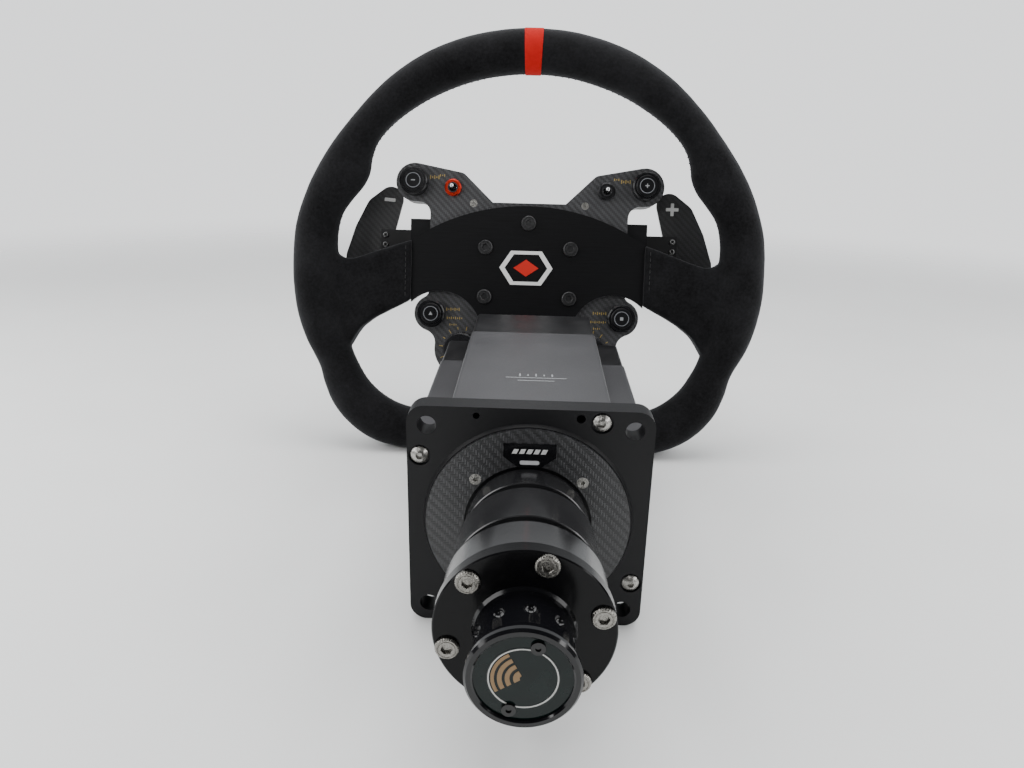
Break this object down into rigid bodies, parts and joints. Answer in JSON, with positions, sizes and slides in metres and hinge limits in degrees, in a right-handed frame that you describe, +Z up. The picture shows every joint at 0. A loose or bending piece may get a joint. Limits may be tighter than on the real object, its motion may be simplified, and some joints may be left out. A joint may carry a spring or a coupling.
{
  "type": "racing wheel",
  "caption": "Sim-racing set: square direct-drive motor base with quick-release shaft, and a D-shaped suede steering wheel with carbon button plate and shift paddles.",
  "frame": {"origin": "centre of the mounting hole pattern on the front face of the motor flange, on the shaft's axis", "axes": "-Y points out of the flange towards the driver along the shaft, +X right, +Z up"},
  "size_m": [0.331, 0.4208, 0.2849],
  "materials": {
    "black_anodised": "satin black anodised",
    "collar_black": "semi-gloss black anodised",
    "housing_grey": "satin grey anodised",
    "bare_aluminium": "machined",
    "carbon": "carbon twill under satin lacquer",
    "steel": "polished stainless",
    "black_steel": "black oxide",
    "dark_gloss": "dark gloss",
    "black_plastic": "matt black",
    "badge_black": "gloss black",
    "led_white": "lit diffuser",
    "lamination": "stacked lamination",
    "copper": "enamelled copper",
    "magnet": "nickel plated",
    "board_green": "solder mask",
    "contact_glass": "dark green-black gloss",
    "gold_mark": "printed",
    "suede": "black suede",
    "red_band": "smooth red leather",
    "plate_brushed": "black brushed",
    "white_mark": "printed white",
    "red_anodised": "red anodised",
    "chrome_lever": "polished"
  },
  "bodies": {
    "base": {"motor_flange": "black_anodised", "motor_housing": "housing_grey", "rear_bearing_plate": "bare_aluminium", "rear_cap": "dark_gloss", "rear_cap_screws": "steel", "flange_screws": "steel", "carbon_disc": "carbon", "disc_screws": "steel", "badge_plate": "badge_black", "status_led": "led_white", "stator_core": "lamination", "stator_windings": "copper", "bearing_outers": "steel", "control_board": "board_green", "rear_sockets": "black_plastic"},
    "power_button": {"power_button": "black_plastic"},
    "shaft": {"rotor_shaft": "bare_aluminium", "rotor_magnets": "magnet", "bearing_inners": "steel", "shaft_hub": "collar_black", "hub_sleeve": "collar_black", "clamp_collar": "collar_black", "qr_flange": "collar_black", "qr_flange_screws": "steel", "qr_hub": "collar_black", "contact_disc": "contact_glass", "contact_marks": "gold_mark", "contact_pins": "black_plastic"},
    "wheel": {"rim_frame": "plate_brushed", "rim_grip": "suede", "centre_band": "red_band", "spoke_wraps": "suede", "plate_bolts": "black_steel", "emblem": "white_mark", "button_plate": "carbon", "plate_screws": "steel", "button_housings": "black_anodised", "toggle_nuts": "red_anodised", "toggle_bodies": "black_steel", "encoder_bodies": "bare_aluminium", "rear_cover": "black_plastic", "button_board": "board_green", "shifter_blocks": "black_anodised", "hub_spacer": "black_anodised", "qr_receiver": "collar_black", "qr_balls": "steel", "qr_spring": "steel"},
    "button_upper_left": {"button_upper_left": "black_plastic"},
    "button_upper_right": {"button_upper_right": "black_plastic"},
    "button_lower_left": {"button_lower_left": "black_plastic"},
    "button_lower_right": {"button_lower_right": "black_plastic"},
    "toggle_left": {"toggle_lever_left": "chrome_lever"},
    "toggle_right": {"toggle_lever_right": "chrome_lever"},
    "knob_left": {"knob_left": "black_anodised"},
    "knob_right": {"knob_right": "black_anodised"},
    "paddle_left": {"paddle_left": "carbon", "paddle_arm_left": "black_anodised"},
    "paddle_right": {"paddle_right": "carbon", "paddle_arm_right": "black_anodised"},
    "release_sleeve": {"qr_collar": "collar_black"}
  },
  "joints": [
    {"name": "shaft_turn", "type": "hinge", "parent": "base", "child": "shaft", "pos_m": [0, 0, 0], "axis": [0, -1, 0], "continuous": true},
    {"name": "power_press", "type": "slide", "parent": "base", "child": "power_button", "axis": [0, -1, 0], "range_m": [0, 0.0015], "stiffness_N_per_m": 600, "springref_m": -0.001},
    {"name": "wheel_lift", "type": "slide", "parent": "base", "child": "wheel", "axis": [0, 0, 1], "range_m": [0, 0.25]},
    {"name": "press_upper_left", "type": "slide", "parent": "wheel", "child": "button_upper_left", "axis": [0, 0.9715, -0.2368], "range_m": [0, 0.0014], "stiffness_N_per_m": 600, "springref_m": -0.001},
    {"name": "press_upper_right", "type": "slide", "parent": "wheel", "child": "button_upper_right", "axis": [0, 0.9715, -0.2368], "range_m": [0, 0.0014], "stiffness_N_per_m": 600, "springref_m": -0.001},
    {"name": "press_lower_left", "type": "slide", "parent": "wheel", "child": "button_lower_left", "axis": [0, 0.9715, -0.2368], "range_m": [0, 0.0014], "stiffness_N_per_m": 600, "springref_m": -0.001},
    {"name": "press_lower_right", "type": "slide", "parent": "wheel", "child": "button_lower_right", "axis": [0, 0.9715, -0.2368], "range_m": [0, 0.0014], "stiffness_N_per_m": 600, "springref_m": -0.001},
    {"name": "toggle_flick_left", "type": "hinge", "parent": "wheel", "child": "toggle_left", "pos_m": [-0.0601, 0.25534, 0.12297], "axis": [1, 0, 0], "range_deg": [-12, 12], "stiffness_Nm_per_rad": 0.02},
    {"name": "knob_turn_left", "type": "hinge", "parent": "wheel", "child": "knob_left", "pos_m": [-0.0515, 0.22374, 0.01231], "axis": [0, -0.9715, 0.2368], "continuous": true},
    {"name": "shift_left", "type": "hinge", "parent": "wheel", "child": "paddle_left", "pos_m": [-0.084, 0.2637, 0.08337], "axis": [0, 0.2368, 0.9715], "range_deg": [0, 5], "stiffness_Nm_per_rad": 3, "springref_deg": -5.73},
    {"name": "toggle_flick_right", "type": "hinge", "parent": "wheel", "child": "toggle_right", "pos_m": [0.0491, 0.25534, 0.12297], "axis": [1, 0, 0], "range_deg": [-12, 12], "stiffness_Nm_per_rad": 0.02},
    {"name": "knob_turn_right", "type": "hinge", "parent": "wheel", "child": "knob_right", "pos_m": [0.0405, 0.22374, 0.01231], "axis": [0, -0.9715, 0.2368], "continuous": true},
    {"name": "shift_right", "type": "hinge", "parent": "wheel", "child": "paddle_right", "pos_m": [0.073, 0.2637, 0.08337], "axis": [0, -0.2368, -0.9715], "range_deg": [0, 5], "stiffness_Nm_per_rad": 3, "springref_deg": -5.73},
    {"name": "sleeve_pull", "type": "slide", "parent": "wheel", "child": "release_sleeve", "axis": [0, -0.9715, 0.2368], "range_m": [0, 0.005], "stiffness_N_per_m": 900, "springref_m": -0.003}
  ]
}
